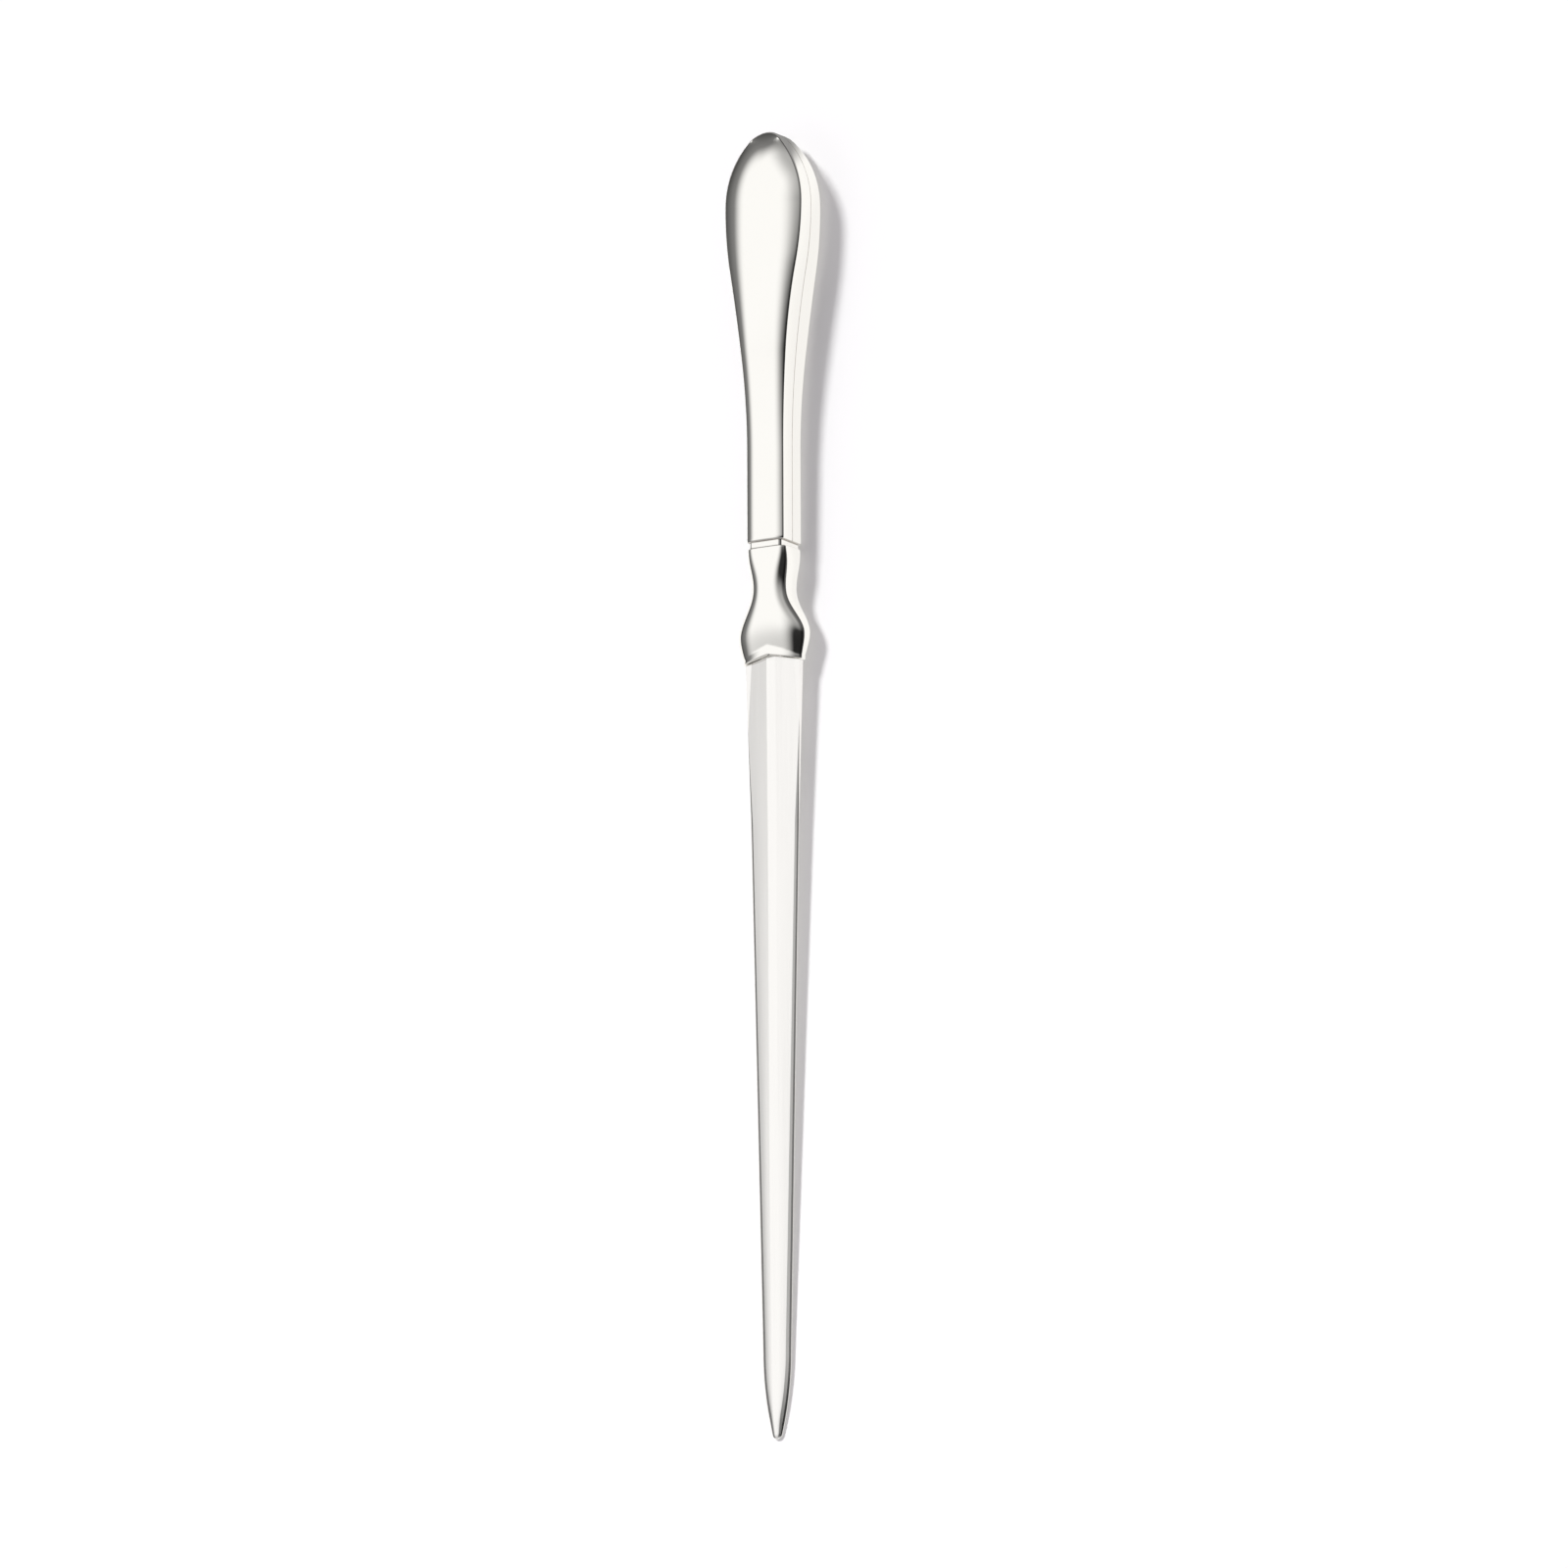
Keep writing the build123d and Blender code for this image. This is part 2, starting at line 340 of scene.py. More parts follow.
back_shell = copy_of(front_shell, "back_shell")
for point in back_shell.data.vertices:
    point.co.z = 2 * seam_height - point.co.z
close_up(back_shell)
select(back_shell, "VERT", lambda point: True)
edit(back_shell, (bpy.ops.mesh.bisect, {"plane_co": (0, 0, cad_box[0].z), "plane_no": (0, 0, 1),
                                        "clear_inner": True, "use_fill": True, "threshold": merge_reach}))
print("back shell lowest point", round(min(p.co.z for p in back_shell.data.vertices) / mm, 4), "mm")

# %% [markdown]
# The bolster is one casting that goes over from the handle's boxy section to an oval neck and a wide flat
# bulb. Each section is a superellipse, which is an ellipse whose corners can be pushed out: a power of 2
# is an ellipse, and a high power is nearly a rectangle. A smooth curve through a few stations gives the
# half width, half thickness and power at every place between them.

# %% Bolster sections
bolster_length = 19.8 * mm
mouth_depth = 1.1 * mm
bolster_mouth = bolster_top - bolster_length

# distance from the top, half width, half thickness, power of the section
bolster_stations = [
    (0.0 * mm, 4.0 * mm, 3.15 * mm, 5.0),
    (2.5 * mm, 4.15 * mm, 3.15 * mm, 3.4),
    (8.4 * mm, 3.95 * mm, 3.2 * mm, 2.5),
    (14.8 * mm, 6.75 * mm, 2.95 * mm, 2.3),
    (18.0 * mm, 6.25 * mm, 2.25 * mm, 2.3),
    (19.8 * mm, 5.75 * mm, 1.8 * mm, 2.3),
]


def smooth_curve(places, values):
    """A natural cubic spline through values at the places, as a function."""
    count = len(places)
    bends = [0.0] * count
    gaps = [b - a for a, b in zip(places, places[1:])]
    slopes = [(b - a) / gap for a, b, gap in zip(values, values[1:], gaps)]
    weights, sums = [0.0] * count, [0.0] * count
    for i in range(1, count - 1):
        divisor = 2 * (gaps[i - 1] + gaps[i]) - gaps[i - 1] * weights[i - 1]
        weights[i] = gaps[i] / divisor
        sums[i] = (6 * (slopes[i] - slopes[i - 1]) - gaps[i - 1] * sums[i - 1]) / divisor
    for i in range(count - 2, 0, -1):
        bends[i] = sums[i] - weights[i] * bends[i + 1]

    def curve(place):
        i = max(k for k in range(count - 1) if k == 0 or places[k] <= place)
        t, gap = place - places[i], gaps[i]
        slope = slopes[i] - gap * (2 * bends[i] + bends[i + 1]) / 6
        return values[i] + t * (slope + t * (bends[i] / 2 + t * (bends[i + 1] - bends[i]) / (6 * gap)))

    return curve


station_places = [station[0] for station in bolster_stations]
bolster_width, bolster_thickness, bolster_power = (
    smooth_curve(station_places, [station[k] for station in bolster_stations]) for k in (1, 2, 3))
print("bolster half width 10 mm from the top:", round(bolster_width(10 * mm) / mm, 2), "mm")

# %% [markdown]
# A casting can be modelled as a stack of rings: a circle is added, and extruding it along the length adds
# one ring after another. Then each ring takes its section's shape. Bridging a few drawn loops would take
# fewer steps, but a ring at every place can follow the curves between the stations and the V of the mouth.
# The points of a ring are counted from +X towards +Z. The blade is made with the same two helpers.

# %% Stack rings
def stack_rings(name, around, rings):
    """A tube of rings one unit apart along Y, open at both ends."""
    bpy.ops.object.select_all(action="DESELECT")
    bpy.ops.mesh.primitive_circle_add(vertices=around, radius=1, fill_type="NOTHING")
    piece = bpy.context.object
    piece.name = piece.data.name = name
    for point in piece.data.vertices:
        point.co = (point.co.x, 0, point.co.y)
    select(piece, "EDGE", lambda edge: True)
    step = {"TRANSFORM_OT_translate": {"value": (0, 1, 0)}}
    edit(piece, *[(bpy.ops.mesh.extrude_region_move, step)] * (rings - 1))
    return piece


# A circle starts at +Z, so its points lie on whole or half steps from +X.
# With a quarter step taken off, both are rounded to the right number.
quarter_step = 0.25


def shape_rings(piece, around, place):
    """Moves each point of a stack to its place, by its ring and its number round the ring."""
    for point in piece.data.vertices:
        turn = atan2(point.co.z, point.co.x) % (2 * pi)
        point.co = place(round(point.co.y), round(turn / (2 * pi) * around - quarter_step) % around)


print("ring helpers ready")

# %% [markdown]
# The bolster's first rings round its top edge. The last ones follow the V of the mouth, keep one section
# along its narrow bright lip, round the lip and close the end across the thickness.

# %% Cast the bolster
bolster_around = 192
top_edge = 0.2 * mm
lip_radius = 0.08 * mm
side_lip = 0.7 * mm
middle_lip = 1.6 * mm
top_rings = 8
body_rings = 80
lip_rings = 6
end_rings = 3


def superellipse(half_width, half_thickness, power, turn):
    """A point of a section, across and up."""
    across, up = cos(turn), sin(turn)
    x = half_width * abs(across) ** (2 / power) * (1 if across > 0 else -1)
    z = half_thickness * abs(up) ** (2 / power) * (1 if up > 0 else -1)
    return x, z


def bolster_place(ring, number):
    """Place of a point of the bolster."""
    turn = 2 * pi * number / bolster_around
    mouth_x, _ = superellipse(blade_half_width, 1, bolster_power(bolster_length), turn)
    inward = 1 - abs(mouth_x) / blade_half_width
    length = bolster_length - mouth_depth * inward
    inset, flat = 0.0, 1.0
    if ring < top_rings:
        roll = ring / top_rings * pi / 2
        inset = top_edge * (1 - sin(roll))
        down = top_edge * (1 - cos(roll))
    elif ring < top_rings + body_rings:
        down = top_edge + (length - lip_radius - top_edge) * (ring - top_rings) / body_rings
    else:
        roll = min((ring - top_rings - body_rings) / lip_rings, 1.0) * pi / 2
        inset = lip_radius * (1 - cos(roll))
        down = length - lip_radius * (1 - sin(roll))
        flat = 1 - max(ring - top_rings - body_rings - lip_rings, 0) / end_rings
    section = min(down, length - side_lip - (middle_lip - side_lip) * inward)
    x, z = superellipse(bolster_width(section) - inset, bolster_thickness(section) - inset,
                        bolster_power(section), turn)
    return Vector((x, bolster_top - down, seam_height + z * flat))


bolster_rings = top_rings + body_rings + lip_rings + end_rings + 1
bolster_casting = stack_rings("bolster_casting", bolster_around, bolster_rings)
shape_rings(bolster_casting, bolster_around, bolster_place)
select(bolster_casting, "EDGE", lambda edge: all(
    abs(bolster_casting.data.vertices[i].co.y - bolster_top) < merge_reach for i in edge.vertices))
edit(bolster_casting, (bpy.ops.mesh.edge_face_add, {}))
close_up(bolster_casting)
print("bolster:", len(bolster_casting.data.polygons), "faces")

# %% [markdown]
# The blade tapers evenly from the bolster to its point, where two arcs that touch close the outline: a
# long one for the curve of the point and a small one for its blunt tip. As with the handle, the arcs
# follow from a few sizes, so nothing is traced.

# %% Blade outline
point_length = 15.2 * mm
point_half_width = 2.82 * mm
tip_radius = 1.0 * mm
point_start = blade_tip + point_length

tip_rise = point_length - tip_radius
point_radius = point_half_width**2 + tip_rise**2 - tip_radius**2
point_radius /= 2 * (point_half_width - tip_radius)
tip_turn = atan2(tip_rise, point_radius - point_half_width)


def taper(y, at_mouth, at_point):
    """A size that changes evenly from the bolster's mouth to the start of the point."""
    share = (bolster_mouth - y) / (bolster_mouth - point_start)
    return at_mouth + share * (at_point - at_mouth)


def blade_width(y):
    """Half width of the blade at y: straight sides, then two arcs to a round tip."""
    if y >= point_start:
        return taper(y, blade_half_width, point_half_width)
    back = y - blade_tip
    if back > tip_radius * (1 - sin(tip_turn)):
        return point_half_width - point_radius + (point_radius**2 - (point_length - back) ** 2) ** 0.5
    return max(tip_radius**2 - (tip_radius - back) ** 2, 0.0) ** 0.5


print("blade half width, mm:", round(blade_width(bolster_mouth) / mm, 2), "at the mouth,",
      round(blade_width(point_start) / mm, 2), "at the point")

# %% [markdown]
# The blade is flat-ridged: a narrow flat runs down the middle of each side, two wide facets slope away
# from it, and a narrow ground edge finishes them. At the mouth that edge is a square flat land, which runs
# out. Further down two small bevels, a shallow one and a steep one, take the square edge off and widen
# towards the point. The edge, the bevels and the facet's slope together give the height of the ridge. The
# facets get rounder towards the point, as a grinding belt leaves them. Bevel modifiers could cut these
# edges too, but with even widths, so the corners of the section are worked out at each place instead.

# %% Blade section
ridge_half_width = 0.85 * mm
mouth_half_thickness = 1.25 * mm
edge_half_thickness = 0.06 * mm
land_width = 1.15 * mm
land_length = 12 * mm
bevel_from_mouth = 10 * mm
bevel_run_in = 18 * mm
# width in the middle of the blade, width at the point, largest share of the half width, tilt
bevels = [
    (0.3 * mm, 0.5 * mm, 0.3, radians(23)),
    (0.2 * mm, 0.3 * mm, 0.2, radians(38)),
]
facet_slope = 0.19
tip_facet_slope = 0.28
point_bow = 0.35
tip_bow = 0.5
ridge_share = 0.25
facet_places = (0.2, 0.4, 0.6, 0.8)


def blade_corners(y):
    """Corners of the top right quarter of the section at y, from the ridge to the edge."""
    half_width = blade_width(y)
    from_mouth = max(bolster_mouth - y, 0.0)
    land = land_width * max(1 - from_mouth / land_length, 0.0)
    ground = min(max(from_mouth - bevel_from_mouth, 0.0) / bevel_run_in, 1.0)
    tip_share = 1 - half_width / taper(y, blade_half_width, point_half_width)
    slope = facet_slope + tip_share * (tip_facet_slope - facet_slope)
    bow = max(taper(min(y, bolster_mouth), 0.0, point_bow), tip_share * tip_bow)
    flat = min(ridge_half_width, ridge_share * half_width)
    widths = [min(taper(y, middle, point), most * half_width) for middle, point, most, _ in bevels]
    drops = [width * tan(tilt) for width, (_, _, _, tilt) in zip(widths, bevels)]
    edge = min(edge_half_thickness, half_width)
    ridge = edge + sum(drops) + slope * (half_width - sum(widths) - flat)
    near_mouth = max(1 - from_mouth / (bevel_from_mouth + bevel_run_in), 0.0)
    ridge += (mouth_half_thickness - ridge) * near_mouth
    facet_width = half_width - ground * sum(widths) - land - flat
    fall = slope * facet_width
    corners = [(flat + facet_width * place, ridge - fall * place * (1 - bow + bow * place))
               for place in (0, *facet_places, 1)]
    x, z = corners[-1][0] + land, corners[-1][1]
    corners.append((x, z))
    for width, drop in zip(widths, drops):
        x, z = x + ground * width, z - ground * drop
        corners.append((x, z))
    return corners + [(half_width, 0.0)]


print("blade corners at the mouth, mm:",
      [(round(x / mm, 2), round(z / mm, 2)) for x, z in blade_corners(bolster_mouth)])

# %% [markdown]
# The blade is a stack of rings too, with a point on each corner of the section, so that its lines stay
# crisp, and four more across each facet. The first rings follow the V of the mouth and straighten out over
# the land's length. The rings get closer towards the tip, where the outline turns fastest.

# %% Blade
body_steps = 60
point_steps = 40
shoulder_rings = 1
braze_thickness = 0.12 * mm
blade_start = bolster_mouth - braze_thickness
mouth_corners = blade_corners(bolster_mouth)
quarter = len(mouth_corners) - 1
blade_around = 4 * quarter + 2


def blade_place(ring, number):
    """Place of a point of the blade, counted from the right edge over the top to the left one."""
    left_edge = blade_around // 2
    top = number if number <= left_edge else blade_around - number
    side = 1 if top <= quarter else -1
    from_edge = top if side > 0 else left_edge - top
    corner = quarter - from_edge
    step = max(ring - shoulder_rings, 0)
    if step <= body_steps:
        down = (blade_start - point_start) * step / body_steps
        inward = 1 - mouth_corners[corner][0] / blade_half_width
        y = blade_start - down + mouth_depth * inward * max(1 - down / land_length, 0.0)
    else:
        y = point_start - point_length * sin((step - body_steps) / point_steps * pi / 2)
    x, z = blade_corners(y)[corner]
    if number > left_edge:
        z = -z
    if ring < shoulder_rings:
        z = 0.0
    return Vector((side * x, y, seam_height + z))


blade_rings = shoulder_rings + body_steps + point_steps + 1
satin_blade = stack_rings("satin_blade", blade_around, blade_rings)
shape_rings(satin_blade, blade_around, blade_place)
close_up(satin_blade)
print("blade:", len(satin_blade.data.polygons), "faces, from", round(blade_tip / mm, 2), "mm")

# %% [markdown]
# The tang is the plain stick that runs from the blade through the bolster into the handle. Nobody sees it,
# but it belongs to the blade, so a cube is added at its size, its end edges are bevelled as a smith breaks
# them, and it is joined to the blade.

# %% Tang
tang_half_width = 2.0 * mm
tang_half_thickness = 0.95 * mm
tang_start = bolster_mouth
tang_end = blade_high.y
tang_break = 0.2 * mm
tang_segments = 2
tang_middle = (tang_start + tang_end) / 2

bpy.ops.object.select_all(action="DESELECT")
bpy.ops.mesh.primitive_cube_add(size=1)
tang = bpy.context.object
for point in tang.data.vertices:
    x, y, z = point.co
    point.co = (2 * tang_half_width * x, tang_middle + (tang_end - tang_start) * y,
                seam_height + 2 * tang_half_thickness * z)
select(tang, "EDGE", lambda edge: all(
    tang.data.vertices[i].co.y > tang_end - merge_reach for i in edge.vertices))
edit(tang, (bpy.ops.mesh.bevel, {"offset": tang_break, "segments": tang_segments, "affect": "EDGES"}))
bpy.ops.object.select_all(action="DESELECT")
tang.select_set(True)
satin_blade.select_set(True)
bpy.context.view_layer.objects.active = satin_blade
bpy.ops.object.join()
print("tang from", round(tang_start / mm, 1), "to", round(tang_end / mm, 1), "mm")

# %% [markdown]
# Polished metal shows every change of a surface's direction, so the curved pieces are shaded smooth, and
# only edges sharper than an angle stay hard. The blade's facets meet at about ten degrees, so its angle is
# smaller than that.

# %% Shading and bodies
curved_angle = radians(40)
facet_angle = radians(5)


def dress(piece, angle, node):
    """Shades a piece, puts it on the opener's one body and hides the CAD node it stands for."""
    bpy.ops.object.select_all(action="DESELECT")
    bpy.context.view_layer.objects.active = piece
    piece.select_set(True)
    bpy.ops.object.shade_smooth_by_angle(angle=angle)
    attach(piece, "root")
    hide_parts(node)
    triangles = sum(len(face.vertices) - 2 for face in piece.data.polygons)
    print(piece.name, "stands for", node, "with", triangles, "triangles")


dress(front_shell, curved_angle, "handle_front_shell")
dress(back_shell, curved_angle, "handle_back_shell")
dress(bolster_casting, curved_angle, "bolster")
dress(satin_blade, facet_angle, "blade")

# %% [markdown]
# A finish is a material made of nodes. Node trees are easier to read as sums, so one small class wraps a
# number in a tree and turns + - * into Math nodes.

# %% Sums of nodes
class Number:
    """A number that changes over a surface, with sums written as sums."""

    def __init__(self, tree, socket):
        self.tree = tree
        self.socket = socket

    def maths(self, operation, first, second):
        node = self.tree.nodes.new("ShaderNodeMath")
        node.operation = operation
        for socket, value in zip(node.inputs, (first, second)):
            if isinstance(value, Number):
                self.tree.links.new(value.socket, socket)
            else:
                socket.default_value = value
        return Number(self.tree, node.outputs[0])

    def __add__(self, other):
        return self.maths("ADD", self, other)

    def __radd__(self, other):
        return self.maths("ADD", other, self)

    def __sub__(self, other):
        return self.maths("SUBTRACT", self, other)

    def __rsub__(self, other):
        return self.maths("SUBTRACT", other, self)

    def __mul__(self, other):
        return self.maths("MULTIPLY", self, other)

    def __rmul__(self, other):
        return self.maths("MULTIPLY", other, self)


print("sums become Math nodes")

# %% [markdown]
# Any other node comes from one method that takes its type, its settings and what goes into its sockets. A
# few kinds are needed again and again: a soft step, a noise, coordinates for lengthwise lines and a mixed
# colour. These have short methods of their own.

# %% Node helpers
class Nodes:
    """A node tree that adds its nodes by type, settings and sockets."""

    def __init__(self, tree):
        self.tree = tree
        tree.nodes.clear()

    def node(self, kind, settings=None, sockets=None):
        made = self.tree.nodes.new("ShaderNode" + kind)
        for name, value in (settings or {}).items():
            setattr(made, name, value)
        for name, value in (sockets or {}).items():
            socket = made.inputs[name]
            if isinstance(value, Number):
                self.tree.links.new(value.socket, socket)
            elif isinstance(value, bpy.types.NodeSocket):
                self.tree.links.new(value, socket)
            else:
                socket.default_value = value
        return made

    def number(self, made, output=0):
        return Number(self.tree, made.outputs[output])

    def clamp(self, value, low, high):
        """0 where value is under low, 1 where it is over high and a soft step between."""
        made = self.node("MapRange", {"interpolation_type": "SMOOTHSTEP"},
                         {"Value": value, "From Min": low, "From Max": high})
        return self.number(made)

    def noise(self, place, scale, detail):
        """A noise from 0 to 1."""
        sockets = {"Vector": place, "Scale": scale, "Detail": detail}
        return self.number(self.node("TexNoise", None, sockets))

    def drawn_out(self, place, share):
        """Coordinates squeezed along Y, so that a noise is drawn out into lines along the opener."""
        return self.node("Mapping", None, {"Vector": place, "Scale": (1, share, 1)}).outputs[0]

    def mix(self, factor, first, second):
        """A colour between two, the first at 0 and the second at 1."""
        made = self.node("Mix", {"data_type": "RGBA"}, {"Factor": factor, 6: first, 7: second})
        return made.outputs[2]


def finish(name):
    """A new material with an empty node tree."""
    material = bpy.data.materials.new(name)
    material.use_nodes = True
    return material, Nodes(material.node_tree)


def put_on(piece, material):
    """Gives a piece one material."""
    if piece.material_slots:
        for slot in piece.material_slots:
            slot.material = material
    else:
        piece.data.materials.append(material)


print("node helpers ready")

# %% [markdown]
# The handle, collar and bolster are silver plate, polished to a mirror. Real plate is never quite even:
# the buffing wheel leaves hair lines along the piece and handling leaves a faint haze. The groove at the
# handle's mouth is painted darker, most of all in the corner at the handle: partly tarnish where no cloth
# reaches, partly painted shade.

# %% Polished silver
silver_light = (0.985, 0.975, 0.95, 1)
silver_warm = (0.955, 0.93, 0.88, 1)
warm_share = 0.35
tarnish_and_shade_colour = (0.20, 0.165, 0.13, 1)
tarnish_and_shade_reach = 0.25 * mm
tarnish_and_shade_level = 0.4
bolster_tarnish_and_shade = 0.1
haze_scale = 90
hair_scale = 6000
hair_squeeze = 0.03
hair_strength = 0.015
hair_relief = 0.02 * mm
polish_rough = 0.03
haze_rough = 0.03
hair_rough = 0.015
groove_rough = 0.2


def polished_silver():
    """Mirror-polished plate with hair lines, a faint haze and a groove darkened by tarnish and painted
    shade.
    """
    material, nodes_of = finish("polished_silver")
    place = nodes_of.node("TexCoord").outputs["Object"]
    haze = nodes_of.noise(place, haze_scale, detail=3)
    hair = nodes_of.noise(nodes_of.drawn_out(place, hair_squeeze), hair_scale, detail=2)
    along = nodes_of.number(nodes_of.node("SeparateXYZ", None, {"Vector": place}), 1)
    from_handle = along.maths("ABSOLUTE", along - handle_mouth, 0)
    from_bolster = along.maths("ABSOLUTE", along - bolster_top, 0)
    # The groove's darker colour is partly tarnish and partly painted shade.
    groove = 1 - nodes_of.clamp(from_handle, 0.0, tarnish_and_shade_reach)
    beyond = nodes_of.clamp(from_bolster, 0.0, tarnish_and_shade_reach)
    groove = groove + bolster_tarnish_and_shade - bolster_tarnish_and_shade * beyond
    warm = nodes_of.mix(haze * warm_share, silver_light, silver_warm)
    colour = nodes_of.mix(groove * (tarnish_and_shade_level + haze * tarnish_and_shade_level), warm, tarnish_and_shade_colour)
    rough = polish_rough + haze * haze_rough + hair * hair_rough + groove * groove_rough
    bump = nodes_of.node("Bump", None, {"Strength": hair_strength, "Distance": hair_relief,
                                        "Height": hair})
    shader = nodes_of.node("BsdfPrincipled", None, {"Base Color": colour, "Metallic": 1.0,
                                                    "Roughness": rough, "Normal": bump.outputs[0]})
    nodes_of.node("OutputMaterial", None, {"Surface": shader.outputs[0]})
    return material


silver = polished_silver()
for piece in (front_shell, back_shell, bolster_casting, nodes["collar"]):
    put_on(piece, silver)
print("polished silver on the handle, collar and bolster")

# %% [markdown]
# The blade is satin: it was drawn along a fine abrasive belt, so it is covered with short lengthwise lines
# of different depth. A noise that is squeezed across and stretched along the blade gives these lines, once
# for the broad streaks and once for the fine ones, in roughness and in height. A scratch picture would do
# it too, but a noise needs no picture and no unwrapping. The ridge is painted brighter, a painted highlight.

# %% Satin blade
satin_light = (0.99, 0.978, 0.96, 1)
satin_grey = (0.95, 0.935, 0.92, 1)
broad_scale = 1400
broad_squeeze = 0.02
fine_scale = 7000
fine_squeeze = 0.04
cloud_scale = 60
ridge_highlight_from = 0.8 * ridge_half_width
ridge_highlight_to = 1.3 * ridge_half_width
ridge_highlight_grey = 0.25
broad_wear = 0.6
cloud_wear = 0.3
satin_rough = 0.13
broad_rough = 0.09
fine_rough = 0.07
fine_height = 0.7
broad_height = 0.5
line_strength = 0.12
line_relief = 0.03 * mm


def satin_finish():
    """Brushed steel with broad and fine lengthwise lines and a painted highlight along the ridge."""
    material, nodes_of = finish("satin_blade")
    place = nodes_of.node("TexCoord").outputs["Object"]
    broad = nodes_of.noise(nodes_of.drawn_out(place, broad_squeeze), broad_scale, detail=4)
    fine = nodes_of.noise(nodes_of.drawn_out(place, fine_squeeze), fine_scale, detail=3)
    cloud = nodes_of.noise(place, cloud_scale, detail=2)
    across = nodes_of.number(nodes_of.node("SeparateXYZ", None, {"Vector": place}), 0)
    facet = nodes_of.clamp(across.maths("ABSOLUTE", across, 0), ridge_highlight_from, ridge_highlight_to)
    # Less grey is mixed in along the ridge: a painted highlight.
    streaks_and_ridge_highlight = (broad * broad_wear + cloud * cloud_wear) * (ridge_highlight_grey + facet * (1 - ridge_highlight_grey))
    colour = nodes_of.mix(streaks_and_ridge_highlight, satin_light, satin_grey)
    rough = satin_rough + broad * broad_rough + fine * fine_rough
    bump = nodes_of.node("Bump", None, {"Strength": line_strength, "Distance": line_relief,
                                        "Height": fine * fine_height + broad * broad_height})
    shader = nodes_of.node("BsdfPrincipled", None, {"Base Color": colour, "Metallic": 1.0,
                                                    "Roughness": rough, "Normal": bump.outputs[0]})
    nodes_of.node("OutputMaterial", None, {"Surface": shader.outputs[0]})
    return material


put_on(satin_blade, satin_finish())
print("satin finish on the blade")

# %% [markdown]
# Solder and brazing metal are duller and a little darker than plate. They were wiped while soft, so their
# surface is slightly lumpy. The cement core can't be seen, but an opened handle would show it: a grey,
# sandy filling, so it gets grains of two sizes.

# %% Solder and cement
solder_light = (0.92, 0.905, 0.88, 1)
solder_dark = (0.78, 0.76, 0.72, 1)
cement_light = (0.62, 0.59, 0.54, 1)
cement_dark = (0.46, 0.43, 0.39, 1)
grain_low = 0.3
grain_high = 0.7
finer = 6
grain_strength = 0.4
fine_share = 0.4
fine_roughness = 0.15


def grainy(name, light, dark, scale, metallic, roughness, relief):
    """A dull finish with grains of one scale and a finer one, for solder or cement."""
    material, nodes_of = finish(name)
    place = nodes_of.node("TexCoord").outputs["Object"]
    coarse = nodes_of.noise(place, scale, detail=4)
    fine = nodes_of.noise(place, finer * scale, detail=2)
    colour = nodes_of.mix(nodes_of.clamp(coarse, grain_low, grain_high), light, dark)
    bump = nodes_of.node("Bump", None, {"Strength": grain_strength, "Distance": relief,
                                        "Height": coarse + fine * fine_share})
    rough = roughness + fine * fine_roughness
    shader = nodes_of.node("BsdfPrincipled", None, {"Base Color": colour, "Metallic": metallic,
                                                    "Roughness": rough, "Normal": bump.outputs[0]})
    nodes_of.node("OutputMaterial", None, {"Surface": shader.outputs[0]})
    return material


solder = grainy("wiped_solder", solder_light, solder_dark,
                scale=900, metallic=1.0, roughness=0.35, relief=0.04 * mm)
cement = grainy("set_cement", cement_light, cement_dark,
                scale=700, metallic=0.0, roughness=0.8, relief=0.2 * mm)
for name in ("seam_solder", "blade_braze"):
    put_on(nodes[name], solder)
put_on(nodes["handle_core"], cement)
print("solder on the seam and the blade's shoulders, cement in the handle")

# %% [markdown]
# The opener lies on its belly's flat and on its point, so the table slopes by about a degree in the
# frame, which follows the handle. The table is a pale matt sheet. Metal mirrors it nearly white, with only
# a little of the opener's shadow, as it would under a very large soft light. Beyond the handle's end the
# table's glow is painted dimmer, a painted shade that only the metal mirrors.

# %% Floor
floor_reach = 3.0
rest_place = handle_end - 16.5 * mm
tip_under = blade_corners(blade_tip + tip_radius)[0][1]
floor_slope = (seam_height - tip_under) / (rest_place - blade_tip)
floor_gap = 0.02 * mm
floor_colour = (0.9, 0.9, 0.9, 1)
floor_glow = (1.0, 0.99, 0.97, 1)
no_glow = (0, 0, 0, 1)
glow_share = 0.9
painted_shade_level = 0.22
painted_shade_from = handle_end - 3 * mm
painted_shade_to = handle_end + 1.5 * mm

bpy.ops.object.select_all(action="DESELECT")
bpy.ops.mesh.primitive_plane_add(size=2 * floor_reach)
floor = bpy.context.object
floor.name = "floor"
for point in floor.data.vertices:
    point.co.z = (rest_place - point.co.y) * floor_slope - floor_gap
floor_material, floor_nodes = finish("pale_table")
rays = floor_nodes.node("LightPath")
mirrored = floor_nodes.number(rays, "Is Glossy Ray")
seen_in_metal = mirrored + floor_nodes.number(rays, "Is Transmission Ray")
matt = floor_nodes.node("BsdfDiffuse", None, {"Color": floor_colour})
floor_place = floor_nodes.node("TexCoord").outputs["Object"]
floor_along = floor_nodes.number(floor_nodes.node("SeparateXYZ", None, {"Vector": floor_place}), 1)
